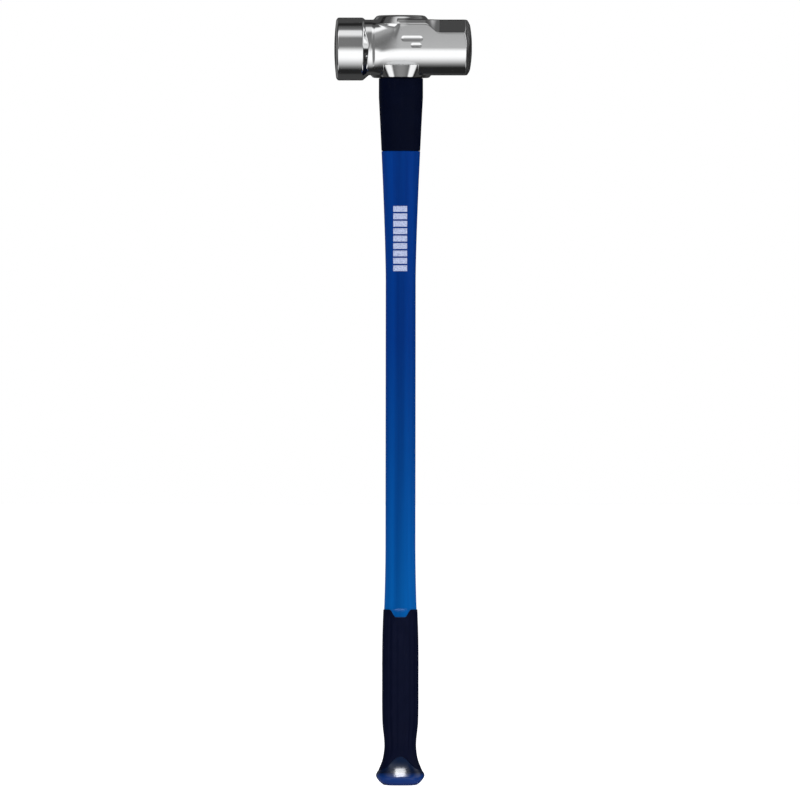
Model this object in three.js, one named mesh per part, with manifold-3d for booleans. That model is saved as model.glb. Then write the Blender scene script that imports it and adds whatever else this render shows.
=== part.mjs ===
// Long-handled sledgehammer: a forged steel head on an oval fibreglass-cored handle.
// Millimetres, +Z up. The hammer stands on its butt; the origin is the middle of the butt's flat.
// +X runs along the head towards the octagonal poll, -X towards the round bell face.

import * as THREE from 'three';
import { mergeVertices } from 'three/addons/utils/BufferGeometryUtils.js';
import Module from 'manifold-3d';

const wasm = await Module();
wasm.setup();

// ---------------------------------------------------------------- driving dimensions

const OVERALL_LENGTH = 914.4;
const GAP = 0.3;

const HEAD = {
  axisZ: 876.5,          // centre line of the body and the poll
  bodyHalf: 32.8,        // half of the height over the flats
  cheekHalf: 34.2,       // half of the width over the cheeks
  blockEdge: 27.9,       // upper edge of the cheeks around the eye, above the centre line
  pollEdge: 16.2,        // upper edge of the cheeks at the octagonal poll
  lowerEdge: -15.5,      // lower edge of the cheeks
  neckX: -40,
  neckHalfWidth: 30.9,
  roundUntilX: -36,
  blockFromX: -6,
  blockUntilX: 28,
  pollFromX: 47,
  pollBevelX: 78.7,
  pollBevelEndX: 81.9,
  pollFaceRadius: 27.5,
  pollCrown: 2.4,
};

const BELL = {
  axisZ: 874.6,          // the bell is forged a little low on the body
  radius: 37.4,
  faceX: -79.1,
  crown: 2.2,
  faceRadius: 34.9,
  bevelX: -74.7,
  backX: -45.4,
  backEndX: -37.4,
  backEndRadius: 30.2,
};

const FACE_LAND_RADIUS = 6;   // true flat in the middle of each crowned striking face

const TOP_COLLAR = {
  z: OVERALL_LENGTH,
  halfX: 28.6,
  halfY: 26.8,
  footZ: 904,
  footHalfX: 37.2,
  footHalfY: 33.7,
};

const BOTTOM_COLLAR = {
  z: 840.2,
  halfX: 24.3,
  halfY: 24.3,
  footZ: 857,
  footHalfX: 34,
  footHalfY: 34,
};

// Lengthwise ears on either side of the bottom collar.
const EARS = {
  z: BOTTOM_COLLAR.z,
  halfX: 33,
  halfY: 11.5,
  footZ: 850,
  footHalfX: 41.8,
  footHalfY: 22.6,
};

const EYE = {
  mouthHalfX: 19,
  mouthHalfY: 14.6,
  waistHalfX: 17,
  waistHalfY: 12.8,
  waistZ: 876,
};

const CORE = {
  halfX: 12,
  halfY: 9.4,
  bottomZ: 14,
  topZ: 911.6,
};

const SHAFT = {
  halfWidth: 17.8,
  headHalfWidth: 26.25,
  taperFromZ: 600,
  taperUntilZ: 817,
  swellFromZ: 291,
  gripHalfWidth: 19.3,
  depthRatio: 0.8,
};

const SLEEVE = {
  bottomZ: 753.6,
  topZ: 839.9,
  thickness: 3,
};

const TONGUE = {
  halfX: 15.6,
  halfY: 11.9,
  topZ: 862,
};

const GRIP = {
  topZ: 209,
  sideBottomZ: 18,
  thickness: 2.4,
  proud: 1,
  notchHalfWidth: 10.7,
  notchDepth: 9,
  notchCorner: 3,
  archHeight: 16.5,
  archHalfSpan: 25,
};

const BUTT = {
  landHalfX: 15,
  landHalfY: 13,
  rimZ: 12,
  rimHalfX: 28.85,
  socketTopZ: 60,
};

const SEAL = {
  bottomZ: 841.4,
  topZ: 846.4,
};

const BOND_TOP_Z = 912.6;

const POCKET_MARGIN = 2;   // how far a cut runs past the surface that it opens

const OVAL_SIDES = 40;
const OVAL_POWER = 2.25;   // 2 is an ellipse, larger is squarer
const TURNED_SIDES = 48;

// ---------------------------------------------------------------- solids from rings

// Closed geometry through rings of equal point counts, each ring a list of Vector3.
// The rings run so that their points turn anticlockwise seen from beyond the last ring.
function loft(rings) {
  const sides = rings[0].length;
  const points = rings.flat();
  const faces = [];
  for (let k = 0; k + 1 < rings.length; k += 1) {
    for (let i = 0; i < sides; i += 1) {
      const next = (i + 1) % sides;
      const a = k * sides + i;
      const b = k * sides + next;
      faces.push(a, b, b + sides, a, b + sides, a + sides);
    }
  }
  const last = (rings.length - 1) * sides;
  for (let i = 1; i + 1 < sides; i += 1) {
    faces.push(0, i + 1, i);
    faces.push(last, last + i, last + i + 1);
  }
  const geometry = new THREE.BufferGeometry().setFromPoints(points);
  geometry.setIndex(faces);
  return geometry;
}

function toSolid(geometry) {
  const bare = new THREE.BufferGeometry();
  bare.setAttribute('position', geometry.getAttribute('position'));
  bare.setIndex(geometry.getIndex());
  const merged = mergeVertices(bare, 1e-4);
  const mesh = new wasm.Mesh({
    numProp: 3,
    vertProperties: new Float32Array(merged.getAttribute('position').array),
    triVerts: new Uint32Array(merged.getIndex().array),
  });
  return new wasm.Manifold(mesh);
}

function toGeometry(solid) {
  const mesh = solid.getMesh();
  const geometry = new THREE.BufferGeometry();
  const corners = new THREE.BufferAttribute(new Float32Array(mesh.vertProperties), 3);
  geometry.setAttribute('position', corners);
  geometry.setIndex(new THREE.BufferAttribute(new Uint32Array(mesh.triVerts), 1));
  geometry.computeVertexNormals();
  return geometry;
}

// One level ring of a handle: a squarish oval.
function ovalRing(z, halfX, halfY) {
  const ring = [];
  for (let i = 0; i < OVAL_SIDES; i += 1) {
    const angle = (i / OVAL_SIDES) * 2 * Math.PI;
    const c = Math.cos(angle);
    const s = Math.sin(angle);
    const x = halfX * Math.sign(c) * Math.abs(c) ** (2 / OVAL_POWER);
    const y = halfY * Math.sign(s) * Math.abs(s) ** (2 / OVAL_POWER);
    ring.push(new THREE.Vector3(x, y, z));
  }
  return ring;
}

// Upright solid through [z, halfX, halfY] stations, grown sideways by grow.
function ovalSolid(stations, grow = 0) {
  const rings = stations.map(([z, halfX, halfY]) => ovalRing(z, halfX + grow, halfY + grow));
  return toSolid(loft(rings));
}

// Solid turned about a line parallel to X at height axisZ, from [x, radius] points.
function turnedSolid(profile, axisZ) {
  const points = profile.map(([x, radius]) => new THREE.Vector2(radius, x));
  const geometry = new THREE.LatheGeometry(points, TURNED_SIDES);
  geometry.rotateZ(-Math.PI / 2);
  geometry.translate(0, 0, axisZ);
  return toSolid(geometry);
}

// Solid of an outline drawn in X and Z, running through the handle along Y.
function throughSolid(shape, halfLength = 60) {
  const geometry = new THREE.ExtrudeGeometry(shape, {
    depth: 2 * halfLength,
    bevelEnabled: false,
    curveSegments: 6,
  });
  geometry.rotateX(Math.PI / 2);
  geometry.translate(0, halfLength, 0);
  return toSolid(geometry);
}

function smoothStep(from, to, x) {
  return THREE.MathUtils.smoothstep(x, from, to);
}

// ---------------------------------------------------------------- forged head

const EDGE_STEPS = 5;   // points along each of the eight sides of a section

// Upper edge of the cheeks at x: high around the eye, running down to the octagonal poll.
function upperEdgeAt(x) {
  const runOut = smoothStep(HEAD.blockUntilX, HEAD.pollFromX, x);
  return THREE.MathUtils.lerp(HEAD.blockEdge, HEAD.pollEdge, runOut);
}

// The eight corners of the section at x, as [y, height above the centre line].
function cornersAt(x) {
  const h = HEAD.bodyHalf;
  const w = HEAD.cheekHalf;
  const high = upperEdgeAt(x);
  const low = HEAD.lowerEdge;
  const topHalf = w - (h - high);
  const bottomHalf = w - (h + low);
  return [
    [w, low], [w, high], [topHalf, h], [-topHalf, h],
    [-w, high], [-w, low], [-bottomHalf, -h], [bottomHalf, -h],
  ];
}

// Section of the forged body at x: round at the neck, eight-sided from the eye onwards.
function bodyRing(x) {
  const squareness = smoothStep(HEAD.roundUntilX, HEAD.blockFromX, x);
  const corners = cornersAt(x);
  const ring = [];
  corners.forEach(([y0, z0], i) => {
    const [y1, z1] = corners[(i + 1) % corners.length];
    for (let k = 0; k < EDGE_STEPS; k += 1) {
      const t = k / EDGE_STEPS;
      const square = new THREE.Vector3(x, y0, z0).lerp(new THREE.Vector3(x, y1, z1), t);
      const angle = Math.atan2(square.z, square.y);
      const roundY = HEAD.neckHalfWidth * Math.cos(angle);
      const roundZ = HEAD.bodyHalf * Math.sin(angle);
      const point = new THREE.Vector3(x, roundY, roundZ).lerp(square, squareness);
      point.z += HEAD.axisZ;
      ring.push(point);
    }
  });
  return ring;
}

function bodySolid() {
  const stations = [];
  for (let x = HEAD.neckX; x < HEAD.blockFromX; x += 4) {
    stations.push(x);
  }
  stations.push(HEAD.blockFromX);
  for (let x = HEAD.blockUntilX; x < HEAD.pollFromX; x += 3) {
    stations.push(x);
  }
  stations.push(HEAD.pollFromX);
  stations.push(HEAD.pollBevelEndX + 4);
  return toSolid(loft(stations.map(bodyRing)));
}

// Crowned face profile from its flat land out to [edgeX, edgeRadius]; dir is +1 or -1 along X.
function crownProfile(edgeX, edgeRadius, crown, dir) {
  const profile = [];
  const steps = 4;
  for (let i = 0; i <= steps; i += 1) {
    const radius = THREE.MathUtils.lerp(FACE_LAND_RADIUS, edgeRadius, i / steps);
    const share = (radius ** 2 - FACE_LAND_RADIUS ** 2) / (edgeRadius ** 2 - FACE_LAND_RADIUS ** 2);
    profile.push([edgeX + dir * crown * (1 - share), radius]);
  }
  return profile;
}

// Turned envelope that bevels and crowns the octagonal poll.
function pollEnvelope() {
  const farRadius = 60;
  const bevelSlope = (HEAD.pollBevelEndX - HEAD.pollBevelX) / (HEAD.bodyHalf - HEAD.pollFaceRadius);
  const startX = HEAD.pollBevelX - (farRadius - HEAD.bodyHalf) * bevelSlope;
  const face = crownProfile(HEAD.pollBevelEndX, HEAD.pollFaceRadius, HEAD.pollCrown, 1);
  const tipX = face[0][0];
  return turnedSolid([
    [HEAD.neckX - 20, 0],
    [HEAD.neckX - 20, farRadius],
    [startX, farRadius],
    ...face.reverse(),
    [tipX, 0],
  ], HEAD.axisZ);
}

function bellSolid() {
  const face = crownProfile(BELL.faceX + BELL.crown, BELL.faceRadius, BELL.crown, -1);
  return turnedSolid([
    [BELL.faceX, 0],
    ...face,
    [BELL.bevelX, BELL.radius],
    [BELL.backX, BELL.radius],
    [BELL.backEndX, BELL.backEndRadius],
    [BELL.backEndX, 0],
  ], BELL.axisZ);
}

// Tapered boss around one end of the eye.
function collarSolid(collar) {
  const foot = [collar.footZ, collar.footHalfX, collar.footHalfY];
  const end = [collar.z, collar.halfX, collar.halfY];
  const stations = collar.z > collar.footZ ? [foot, end] : [end, foot];
  return ovalSolid(stations);
}

// Eye through the head, waisted in the middle, running past both collars.
function eyeSolid(shrink = 0) {
  return ovalSolid([
    [BOTTOM_COLLAR.z - 2, EYE.mouthHalfX, EYE.mouthHalfY],
    [BOTTOM_COLLAR.z + 2, EYE.mouthHalfX, EYE.mouthHalfY],
    [EYE.waistZ, EYE.waistHalfX, EYE.waistHalfY],
    [TOP_COLLAR.z + 2, EYE.mouthHalfX, EYE.mouthHalfY],
  ], -shrink);
}

function headSolid() {
  return bodySolid()
    .intersect(pollEnvelope())
    .add(bellSolid())
    .add(collarSolid(TOP_COLLAR))
    .add(collarSolid(BOTTOM_COLLAR))
    .add(collarSolid(EARS))
    .subtract(eyeSolid());
}

// ---------------------------------------------------------------- handle outline

// Half width of the bare shaft: slim in the middle, tapering out to the head and the grip.
function shaftHalfWidth(z) {
  const rise = THREE.MathUtils.clamp(
    (z - SHAFT.taperFromZ) / (SHAFT.taperUntilZ - SHAFT.taperFromZ), 0, 1);
  const swell = THREE.MathUtils.clamp(
    (SHAFT.swellFromZ - z) / (SHAFT.swellFromZ - GRIP.topZ), 0, 1);
  const toHead = (SHAFT.headHalfWidth - SHAFT.halfWidth) * rise ** 1.4;
  const toGrip = (SHAFT.gripHalfWidth - SHAFT.halfWidth) * swell ** 2;
  return SHAFT.halfWidth + toHead + toGrip;
}

function shaftStation(z) {
  const halfWidth = shaftHalfWidth(z);
  return [z, halfWidth, halfWidth * SHAFT.depthRatio];
}

// Outer line of the grip and the flare under it, as half width, half depth and height.
const GRIP_LINE = new THREE.CatmullRomCurve3([
  new THREE.Vector3(26, 21, GRIP.sideBottomZ),
  new THREE.Vector3(21.3, 16, 30),
  new THREE.Vector3(19.2, 15.6, 42),
  new THREE.Vector3(21.2, 17.6, 75),
  new THREE.Vector3(21.6, 18.1, 125),
  new THREE.Vector3(21.4, 18, 173),
  new THREE.Vector3(20.3, 17, GRIP.topZ),
]);

function gripStations() {
  return GRIP_LINE.getPoints(20).map((point) => [point.z, point.x, point.y]);
}

// Stations of the rounded butt below the grip's side edge.
function buttStations() {
  return [
    [0, BUTT.landHalfX, BUTT.landHalfY],
    [1.6, 21, 19],
    [3.4, 23.5, 21.6],
    [6.2, 26, 24.2],
    [9.4, 28.2, 26.3],
    [BUTT.rimZ, BUTT.rimHalfX, 24.7],
    [14.6, 28.2, 23.1],
  ];
}

// ---------------------------------------------------------------- overmoulded rubber

// U-shaped notch in the grip's top edge, drawn in X and Z.
function notchShape(shrink) {
  const half = GRIP.notchHalfWidth - shrink;
  const floor = GRIP.topZ - GRIP.notchDepth + shrink;
  const top = GRIP.topZ + 20;
  const r = GRIP.notchCorner;
  const shape = new THREE.Shape();
  shape.moveTo(-half - r, top);
  shape.lineTo(-half, floor + r);
  shape.quadraticCurveTo(-half, floor, -half + r, floor);
  shape.lineTo(half - r, floor);
  shape.quadraticCurveTo(half, floor, half, floor + r);
  shape.lineTo(half + r, top);
  shape.closePath();
  return shape;
}

// Everything below the grip's arched lower edge, drawn in X and Z.
function archShape(shrink) {
  const side = 45;
  const steps = 14;
  const shape = new THREE.Shape();
  shape.moveTo(-side, -20);
  shape.lineTo(side, -20);
  shape.lineTo(side, GRIP.sideBottomZ - shrink);
  for (let i = 0; i <= steps; i += 1) {
    const x = THREE.MathUtils.lerp(GRIP.archHalfSpan, -GRIP.archHalfSpan, i / steps);
    const rise = Math.cos((Math.PI * x) / (2 * GRIP.archHalfSpan)) ** 2;
    shape.lineTo(x, GRIP.sideBottomZ + GRIP.archHeight * rise - shrink);
  }
  shape.lineTo(-side, GRIP.sideBottomZ - shrink);
  shape.closePath();
  return shape;
}

// Solid of the grip's outer line between two heights, grown sideways by grow.
function gripEnvelope(bottomZ, topZ, grow) {
  const stations = gripStations();
  const [, footX, footY] = stations[0];
  const [, topX, topY] = stations.at(-1);
  return ovalSolid([[bottomZ, footX, footY], ...stations.slice(0, -1), [topZ, topX, topY]], grow);
}

// The grip's rubber, or with grow the pocket that it fills in its neighbours.
function gripSolid(grow = 0) {
  const outside = gripEnvelope(GRIP.sideBottomZ - 1, GRIP.topZ + grow, grow);
  const inside = gripEnvelope(GRIP.sideBottomZ - 2, GRIP.topZ + 2, -GRIP.thickness - grow);
  return outside
    .subtract(inside)
    .subtract(throughSolid(archShape(grow)))
    .subtract(throughSolid(notchShape(grow)));
}

// Solid of the shaft's outer line around the sleeve, grown sideways by grow.
function sleeveEnvelope(bottomZ, topZ, grow) {
  const middle = (SLEEVE.bottomZ + SLEEVE.topZ) / 2;
  return ovalSolid([bottomZ, middle, SHAFT.taperUntilZ, topZ].map(shaftStation), grow);
}

// The dark guard that covers the shaft below the head.
function sleeveSolid() {
  const outside = sleeveEnvelope(SLEEVE.bottomZ, SLEEVE.topZ, 0);
  const inside = sleeveEnvelope(SLEEVE.bottomZ - 1, SLEEVE.topZ + 1, -SLEEVE.thickness);
  return outside.subtract(inside);
}

// The room that the guard takes from the jacket, open all round.
function sleevePocket() {
  const outside = sleeveEnvelope(SLEEVE.bottomZ - GAP, SLEEVE.topZ + 1, POCKET_MARGIN);
  const inside = sleeveEnvelope(SLEEVE.bottomZ - 1, SLEEVE.topZ + 2, -SLEEVE.thickness - GAP);
  return outside.subtract(inside);
}

// ---------------------------------------------------------------- handle

function coreSolid(grow = 0) {
  return ovalSolid([
    [CORE.bottomZ - grow, CORE.halfX, CORE.halfY],
    [CORE.topZ + grow, CORE.halfX, CORE.halfY],
  ], grow);
}

function tongueSolid(grow = 0) {
  return ovalSolid([
    [SLEEVE.topZ - 4, TONGUE.halfX, TONGUE.halfY],
    [TONGUE.topZ + grow, TONGUE.halfX, TONGUE.halfY],
  ], grow);
}

function jacketSolid() {
  const bottom = BUTT.socketTopZ + GAP / 2;
  const lower = gripStations()
    .filter(([z]) => z > bottom && z < GRIP.topZ)
    .map(([z, halfX, halfY]) => [z, halfX - GRIP.proud, halfY - GRIP.proud]);
  const heights = [
    GRIP.topZ, 225, 245, 268, SHAFT.swellFromZ, SHAFT.taperFromZ,
    625, 655, 690, 725, SLEEVE.bottomZ - GAP, 785, SHAFT.taperUntilZ, SLEEVE.topZ,
  ];
  const [, footX, footY] = lower[0];
  const stations = [[bottom, footX, footY], ...lower, ...heights.map(shaftStation)];
  return ovalSolid(stations)
    .subtract(gripSolid(GAP))
    .subtract(sleevePocket())
    .add(tongueSolid())
    .subtract(coreSolid(GAP));
}

function buttCapSolid() {
  const top = BUTT.socketTopZ - GAP / 2;
  const upper = gripStations().filter(([z]) => z < top);
  const [, topX, topY] = upper.at(-1);
  return ovalSolid([...buttStations(), ...upper, [top, topX, topY]])
    .subtract(gripSolid(GAP))
    .subtract(coreSolid(GAP));
}

// ---------------------------------------------------------------- inside the eye

// Level slice of the eye's inside between two heights.
function eyeSlice(low, high) {
  const big = 40;
  const slab = ovalSolid([[low, big, big], [high, big, big]]);
  return eyeSolid(GAP).intersect(slab);
}

function bondSolid() {
  return eyeSlice(SEAL.topZ + GAP, BOND_TOP_Z)
    .subtract(coreSolid(GAP))
    .subtract(tongueSolid(GAP));
}

function sealSolid() {
  return eyeSlice(SEAL.bottomZ, SEAL.topZ).subtract(tongueSolid(GAP));
}

// ---------------------------------------------------------------- materials and assembly

function finish(color, roughness, metalness) {
  return new THREE.MeshStandardMaterial({ color, roughness, metalness });
}

const polishedSteel = finish(0xb9bbbd, 0.22, 1);
const glossBlue = finish(0x03459a, 0.3, 0);
const darkRubber = finish(0x0c1124, 0.55, 0);
const fibreglass = finish(0xc9c39a, 0.6, 0);
const epoxy = finish(0x2a2c30, 0.45, 0);
const foam = finish(0x3a3a3a, 0.9, 0);

function piece(name, solid, material) {
  const mesh = new THREE.Mesh(toGeometry(solid), material);
  mesh.name = name;
  return mesh;
}

const sledgehammer = new THREE.Group();
sledgehammer.add(
  piece('hammer_head', headSolid(), polishedSteel),
  piece('core_rod', coreSolid(), fibreglass),
  piece('jacket', jacketSolid(), glossBlue),
  piece('overstrike_sleeve', sleeveSolid(), darkRubber),
  piece('grip', gripSolid(), darkRubber),
  piece('butt_cap', buttCapSolid(), glossBlue),
  piece('eye_bond', bondSolid(), epoxy),
  piece('eye_seal', sealSolid(), foam),
);

export default sledgehammer;
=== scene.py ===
import math

import bpy
import numpy as np
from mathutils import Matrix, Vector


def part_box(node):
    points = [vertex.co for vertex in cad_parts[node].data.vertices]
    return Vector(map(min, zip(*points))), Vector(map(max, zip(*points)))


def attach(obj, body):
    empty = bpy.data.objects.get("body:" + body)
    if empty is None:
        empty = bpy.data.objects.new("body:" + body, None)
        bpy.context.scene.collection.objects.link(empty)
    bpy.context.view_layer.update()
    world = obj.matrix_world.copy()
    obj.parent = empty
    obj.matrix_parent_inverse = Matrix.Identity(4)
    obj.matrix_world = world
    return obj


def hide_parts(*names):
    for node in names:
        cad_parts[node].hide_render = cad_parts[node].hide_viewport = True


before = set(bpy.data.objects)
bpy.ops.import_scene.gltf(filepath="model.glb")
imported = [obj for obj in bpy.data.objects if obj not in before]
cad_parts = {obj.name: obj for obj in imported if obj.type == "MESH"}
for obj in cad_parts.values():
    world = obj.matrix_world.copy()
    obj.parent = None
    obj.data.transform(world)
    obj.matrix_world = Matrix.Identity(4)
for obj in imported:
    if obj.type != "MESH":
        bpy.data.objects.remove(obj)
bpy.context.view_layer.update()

# Shapes are worked out in millimetres, in the CAD frame, and written to the meshes in metres.
MM = 0.001


def node_box(node):
    """Lowest and highest corner of a CAD node, in millimetres."""
    low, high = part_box(node)
    return np.array(low) / MM, np.array(high) / MM


HEAD_LOW, HEAD_HIGH = node_box("hammer_head")
SLEEVE_LOW, SLEEVE_HIGH = node_box("overstrike_sleeve")
JACKET_LOW, JACKET_HIGH = node_box("jacket")
GRIP_HIGH = node_box("grip")[1]
BUTT_HIGH = node_box("butt_cap")[1]
CORE_LOW, CORE_HIGH = node_box("core_rod")
BOND_LOW, BOND_HIGH = node_box("eye_bond")
SEAL_LOW, SEAL_HIGH = node_box("eye_seal")

# ---------------------------------------------------------------- meshes


def smooth_step(low, high, x):
    """0 up to low, 1 from high, and a smooth rise between them."""
    t = np.clip((x - low) / (high - low), 0.0, 1.0)
    return t * t * (3.0 - 2.0 * t)


def make_piece(name, node, material, points, faces, normals=None):
    """A smooth-shaded mesh of points in millimetres that stands for a CAD node."""
    mesh = bpy.data.meshes.new(name)
    mesh.from_pydata((points * MM).tolist(), [], faces)
    mesh.validate()
    mesh.update()
    mesh.polygons.foreach_set("use_smooth", [True] * len(mesh.polygons))
    if normals is not None:
        mesh.normals_split_custom_set_from_vertices(normals.tolist())
    mesh.materials.append(material)
    piece = bpy.data.objects.new(name, mesh)
    bpy.context.scene.collection.objects.link(piece)
    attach(piece, "root")
    if node:
        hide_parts(node)
    return piece


def ring_faces(rows, columns, closed):
    """Quads over a grid of rows by columns whose columns, and rows if closed, run round."""
    faces = []
    for r in range(rows if closed else rows - 1):
        for c in range(columns):
            d = (c + 1) % columns
            s = (r + 1) % rows
            faces.append((r * columns + c, r * columns + d, s * columns + d, s * columns + c))
    return faces


def skin(rings, closed):
    """Points and faces through rings of points; open ends are capped."""
    rows, columns = len(rings), len(rings[0])
    points = np.concatenate(rings)
    faces = ring_faces(rows, columns, closed)
    if not closed:
        faces.append(tuple(range(columns - 1, -1, -1)))
        faces.append(tuple(range((rows - 1) * columns, rows * columns)))
    return points, faces


OVAL_POWER = 2.25


def oval_ring(angles, half_x, half_y, z):
    """A squarish oval of points at height z; every argument but angles may be an array."""
    c, s = np.cos(angles), np.sin(angles)
    x = half_x * np.sign(c) * np.abs(c) ** (2 / OVAL_POWER)
    y = half_y * np.sign(s) * np.abs(s) ** (2 / OVAL_POWER)
    return np.stack([x, y, np.broadcast_to(z, x.shape)], axis=1)


def even_angles(count):
    """Angles of equal steps once round, in radians."""
    return np.arange(count) * (2 * math.pi / count)


# ---------------------------------------------------------------- surface from a distance field


def surface_net(field, low, high, step):
    """Quad mesh of the zero level of field inside a box, one vertex in each cell it crosses."""
    axes = [np.arange(a, b + step, step) for a, b in zip(low, high)]
    values = field(*np.meshgrid(*axes, indexing="ij"))
    inside = values < 0
    corners = [(i, j, k) for i in (0, 1) for j in (0, 1) for k in (0, 1)]
    cell_shape = tuple(n - 1 for n in inside.shape)

    def shifted(grid, corner):
        return grid[tuple(slice(o, o + n) for o, n in zip(corner, cell_shape))]

    count = sum(shifted(inside, c).astype(np.int8) for c in corners)
    active = (count > 0) & (count < 8)
    total = np.zeros((int(active.sum()), 3))
    hits = np.zeros(len(total))
    for a in corners:
        for axis in range(3):
            if a[axis]:
                continue
            b = tuple(o + (n == axis) for n, o in enumerate(a))
            va, vb = shifted(values, a)[active], shifted(values, b)[active]
            crosses = (va < 0) != (vb < 0)
            share = np.where(crosses, va / np.where(crosses, va - vb, 1.0), 0.0)
            place = np.tile(np.array(a, float), (len(va), 1))
            place[:, axis] += share
            total += np.where(crosses[:, None], place, 0.0)
            hits += crosses
    cells = np.argwhere(active)
    points = (cells + total / hits[:, None]) * step + np.array(low)
    index = np.full(cell_shape, -1)
    index[active] = np.arange(len(points))
    faces = []
    for axis in range(3):
        faces.append(net_quads(inside, index, axis))
    return points, np.concatenate(faces)


def net_quads(inside, index, axis):
    """The quads around the grid edges along one axis that the surface crosses."""
    first = np.take(inside, range(inside.shape[axis] - 1), axis)
    second = np.take(inside, range(1, inside.shape[axis]), axis)
    edges = np.argwhere(first != second)
    u, v = (axis + 1) % 3, (axis + 2) % 3
    keep = (edges[:, u] > 0) & (edges[:, v] > 0)
    keep &= (edges[:, u] < index.shape[u]) & (edges[:, v] < index.shape[v])
    edges = edges[keep]
    quad = []
    for du, dv in ((-1, -1), (0, -1), (0, 0), (-1, 0)):
        cell = edges.copy()
        cell[:, u] += du
        cell[:, v] += dv
        quad.append(index[tuple(cell.T)])
    quad = np.stack(quad, axis=1)
    outward = first[tuple(edges.T)]
    quad[~outward] = quad[~outward][:, ::-1]
    return quad


def gradient(field, points, reach=0.05):
    """Slope of the field at each point, from differences over reach to both sides."""
    slopes = []
    for axis in range(3):
        offset = np.zeros(3)
        offset[axis] = reach
        ahead, behind = points + offset, points - offset
        slopes.append((field(*ahead.T) - field(*behind.T)) / (2 * reach))
    return np.stack(slopes, axis=1)


def settle(field, points, rounds=4, most=0.4):
    """Moves points onto the zero level, and gives the surface's normals there."""
    for _ in range(rounds):
        slope = gradient(field, points)
        size = np.maximum((slope**2).sum(axis=1), 0.05)
        step = -(field(*points.T) / size)[:, None] * slope
        length = np.linalg.norm(step, axis=1, keepdims=True)
        points = points + step * np.minimum(1.0, most / np.maximum(length, 1e-9))
    slope = gradient(field, points)
    return points, slope / np.linalg.norm(slope, axis=1, keepdims=True)


def soft_max(a, b, width):
    """Intersection of two fields with a fillet that starts width away from the edge."""
    h = np.clip(0.5 + 0.5 * (a - b) / width, 0.0, 1.0)
    return b + (a - b) * h + width * h * (1.0 - h)


def soft_min(a, b, width):
    return -soft_max(-a, -b, width)


# ---------------------------------------------------------------- forged head

POLL_Z = 876.5
BELL_RADIUS = HEAD_HIGH[1]
BELL_Z = HEAD_LOW[2] + BELL_RADIUS
BELL_FACE_X = HEAD_LOW[0]
POLL_FACE_X = HEAD_HIGH[0]
HEAD_TOP_Z = HEAD_HIGH[2]
SKIRT_Z = SLEEVE_HIGH[2] + 0.3

BODY_HEIGHT = 32.8
BODY_DEPTH = 34.3
CHEEK_CROWN = 0.12
UPPER_FLAT = 27.4
POLL_FLAT = 16.2
LOWER_FLAT = 15.5
LOWER_FILLET = 10.0
NECK_DEPTH = 30.8
HEAD_STEP = 0.7

# The bell and the poll: a crowned face inside an edge, and a bevel behind it.
BELL_EDGE = 34.9
BELL_CROWN = 2.2
BELL_BEVEL = 2.2
BELL_BACK_X = -45.4
NECK_FRONT_X, NECK_FRONT_RADIUS = -37.0, 30.0
POLL_EDGE = 27.5
POLL_CROWN = 2.4
POLL_BEVEL = 3.2

# The eye block turns into the octagonal poll between these two places.
BLOCK_END_X, POLL_START_X = 28.0, 47.5
BLOCK_LEAN, POLL_LEAN = 39.0, 45.0

COLLAR_HALF_X, COLLAR_HALF_Y = 28.6, 26.8
COLLAR_FLARE_X, COLLAR_FLARE_Y = 8.6, 6.9
COLLAR_HEIGHT = 10.4
COLLAR_POWER = 2.2

SKIRT_RADIUS = 24.3
SKIRT_FLARE = 0.71
SKIRT_HEIGHT = 15.4
EAR_HALF_X, EAR_HALF_Y = 33.0, 11.5
EAR_HEIGHT = 9.5

# The eye is waisted: this size at its middle, wider above and below.
EYE_MIDDLE_Z = (SKIRT_Z + HEAD_TOP_Z) / 2
EYE_REACH = 36.0
EYE_HALF_X, EYE_HALF_Y = 17.0, 12.8
EYE_FLARE_X, EYE_FLARE_Y = 2.0, 1.8


def line_field(x, y, start, end):
    """Distance from the straight line through start and end, positive on its left side."""
    dx, dy = end[0] - start[0], end[1] - start[1]
    length = math.hypot(dx, dy)
    return ((y - start[1]) * dx - (x - start[0]) * dy) / length


def crown_share(radius, edge, land=6.0):
    """How far a crowned face has fallen at a radius: 0 on its flat land, 1 at its edge."""
    return np.clip((radius**2 - land**2) / (edge**2 - land**2), 0.0, None)


def oval_field(x, y, half_x, half_y, power):
    """Rough distance from an oval; a higher power makes it squarer."""
    level = ((np.abs(x) / half_x) ** power + (np.abs(y) / half_y) ** power) ** (1 / power)
    return (level - 1.0) * np.minimum(half_x, half_y)


def bell_field(x, y, z):
    """Round striking head, turned about its own axis."""
    radius = np.hypot(y, z - BELL_Z)
    face = BELL_FACE_X + BELL_CROWN * crown_share(radius, BELL_EDGE) - x
    edge_x = BELL_FACE_X + BELL_CROWN
    front = line_field(x, radius, (edge_x, BELL_EDGE), (edge_x + BELL_BEVEL, BELL_RADIUS))
    back = line_field(x, radius, (BELL_BACK_X, BELL_RADIUS), (NECK_FRONT_X, NECK_FRONT_RADIUS))
    solid = soft_max(radius - BELL_RADIUS, front, 0.9)
    solid = soft_max(solid, back, 1.0)
    return soft_max(solid, face, 0.8)


def poll_end_field(x, radius):
    """Turned bevel and crowned face at the end of the octagonal poll."""
    face = x - (POLL_FACE_X - POLL_CROWN * crown_share(radius, POLL_EDGE))
    edge_x = POLL_FACE_X - POLL_CROWN
    bevel = line_field(x, radius, (edge_x - POLL_BEVEL, BODY_HEIGHT), (edge_x, POLL_EDGE))
    return soft_max(face, bevel, 1.0)


def pill_field(x, h, centre, half_length, radius):
    """Distance from a level rounded bar on the cheek."""
    dx = np.maximum(np.abs(x - centre[0]) - half_length, 0.0)
    return np.hypot(dx, h - centre[1]) - radius


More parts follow.
